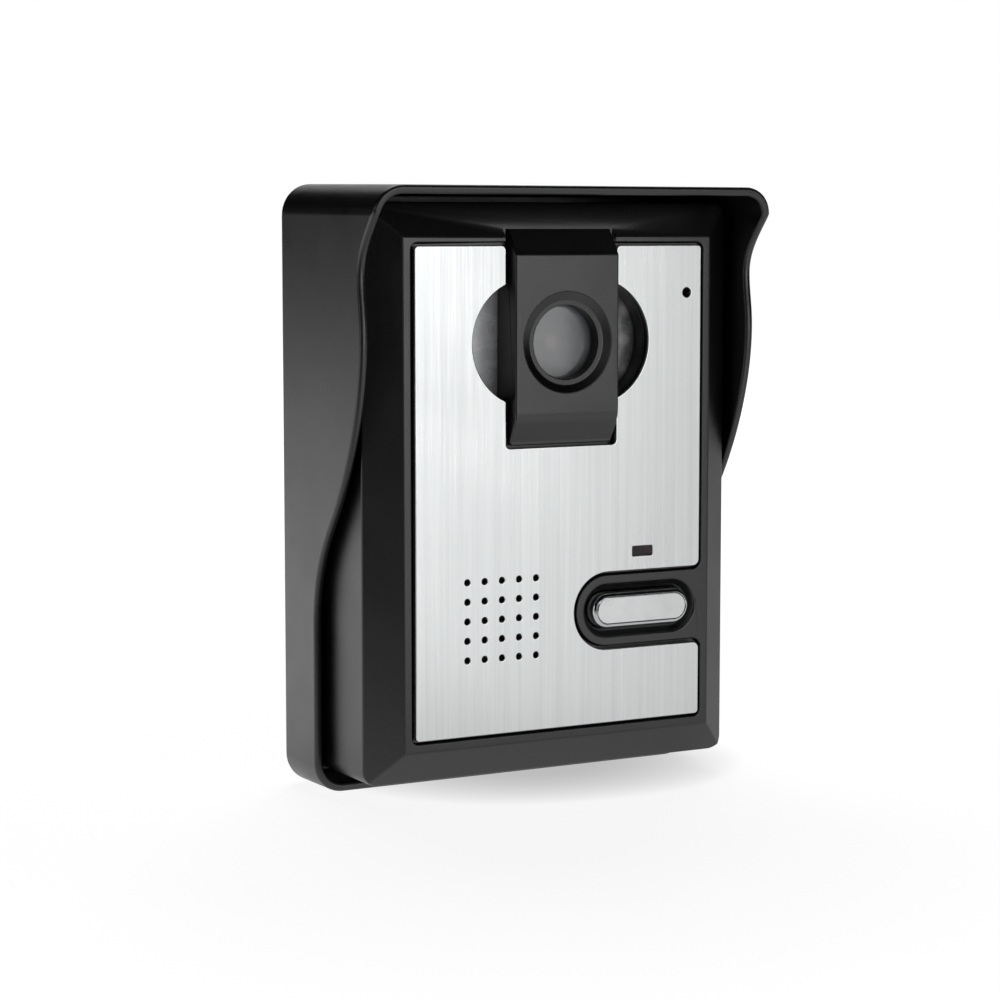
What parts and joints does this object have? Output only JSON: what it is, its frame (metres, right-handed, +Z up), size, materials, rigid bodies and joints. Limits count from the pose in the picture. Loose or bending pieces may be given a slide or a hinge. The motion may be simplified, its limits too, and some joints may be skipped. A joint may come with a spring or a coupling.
{
  "type": "door intercom panel",
  "caption": "Wall-mounted door intercom panel with a rain hood, camera behind a bridge, infrared window, speaker grid, status window and long call button.",
  "frame": {"origin": "middle of the rain hood's flat rear face, where it meets the wall", "axes": "+Z up along the panel's height, +Y into the wall, the front faces -Y and +X is to the right as seen from the front"},
  "size_m": [0.1012, 0.0498, 0.1376],
  "materials": {
    "charcoal_plastic": "fine textured matte moulding",
    "black_plastic": "satin black moulding",
    "brushed_plate": "upright brushed aluminium, clear anodised",
    "button_chrome": "chromed rim with a satin silver face",
    "lens_cover": "clear cover glass over a dark lens",
    "infrared_filter": "smoked translucent acrylic",
    "status_red": "dark red tinted acrylic",
    "rubber": "matte black rubber",
    "screw_steel": "zinc plated steel",
    "spacer_brass": "turned brass",
    "circuit_board": "green solder mask",
    "lamp_resin": "clear lamp resin",
    "chip_plastic": "black chip resin",
    "capacitor_sleeve": "blue shrink sleeve",
    "socket_plastic": "natural nylon",
    "terminal_plastic": "green nylon",
    "trimmer_plastic": "blue trimmer body",
    "speaker_metal": "pressed and plated steel",
    "speaker_paper": "pressed paper and thin cloth",
    "adhesive": "double-sided foam sheet",
    "lead_sleeve": "soft wire insulation"
  },
  "bodies": {
    "station": {"rain_hood": "charcoal_plastic", "front_housing": "charcoal_plastic", "camera_bridge": "charcoal_plastic", "rear_cover": "charcoal_plastic", "button_guide": "charcoal_plastic", "lens_bezel": "black_plastic", "lens_holder": "black_plastic", "lens_barrel": "black_plastic", "call_switch": "black_plastic", "face_plate": "brushed_plate", "lens_glass": "lens_cover", "front_lens": "lens_cover", "ir_window": "infrared_filter", "status_window": "status_red", "status_lamp": "status_red", "light_shield": "rubber", "mic_boot": "rubber", "cover_seal": "rubber", "speaker_gasket": "rubber", "hood_screw": "screw_steel", "lamp_board_screws": "screw_steel", "spacer_screws": "screw_steel", "camera_board_screws": "screw_steel", "guide_screws": "screw_steel", "main_board_screws": "screw_steel", "terminal_screws": "screw_steel", "cover_screws": "screw_steel", "button_springs": "screw_steel", "board_spacers": "spacer_brass", "ir_lamp_board": "circuit_board", "camera_board": "circuit_board", "main_board": "circuit_board", "ir_lamps": "lamp_resin", "light_sensor": "lamp_resin", "image_sensor": "chip_plastic", "audio_chip": "chip_plastic", "capacitors": "capacitor_sleeve", "lead_sockets": "socket_plastic", "terminal_block": "terminal_plastic", "volume_trimmer": "trimmer_plastic", "speaker_basket": "speaker_metal", "speaker_magnet": "speaker_metal", "mic_capsule": "speaker_metal", "speaker_cone": "speaker_paper", "speaker_cloth": "speaker_paper", "plate_adhesive": "adhesive", "speaker_lead": "lead_sleeve", "mic_lead": "lead_sleeve", "camera_lead": "lead_sleeve"},
    "button": {"call_button": "button_chrome"},
    "plunger": {"switch_plunger": "socket_plastic"},
    "trimmer": {"trimmer_rotor": "socket_plastic"}
  },
  "joints": [
    {"name": "call_button_press", "type": "slide", "parent": "station", "child": "button", "axis": [0, 1, 0], "range_m": [0, 0.0008], "stiffness_N_per_m": 1200, "springref_m": -0.0008, "deforming": ["button_springs"]},
    {"name": "switch_plunger_press", "type": "slide", "parent": "station", "child": "plunger", "axis": [0, 1, 0], "range_m": [0, 0.0008]},
    {"name": "volume_trimmer_turn", "type": "hinge", "parent": "station", "child": "trimmer", "pos_m": [0.022, -0.0185, -0.008], "axis": [0, 1, 0], "range_deg": [-130, 130]}
  ],
  "couplings": [
    {"joint": "switch_plunger_press", "follows": "call_button_press", "ratio": 1}
  ]
}
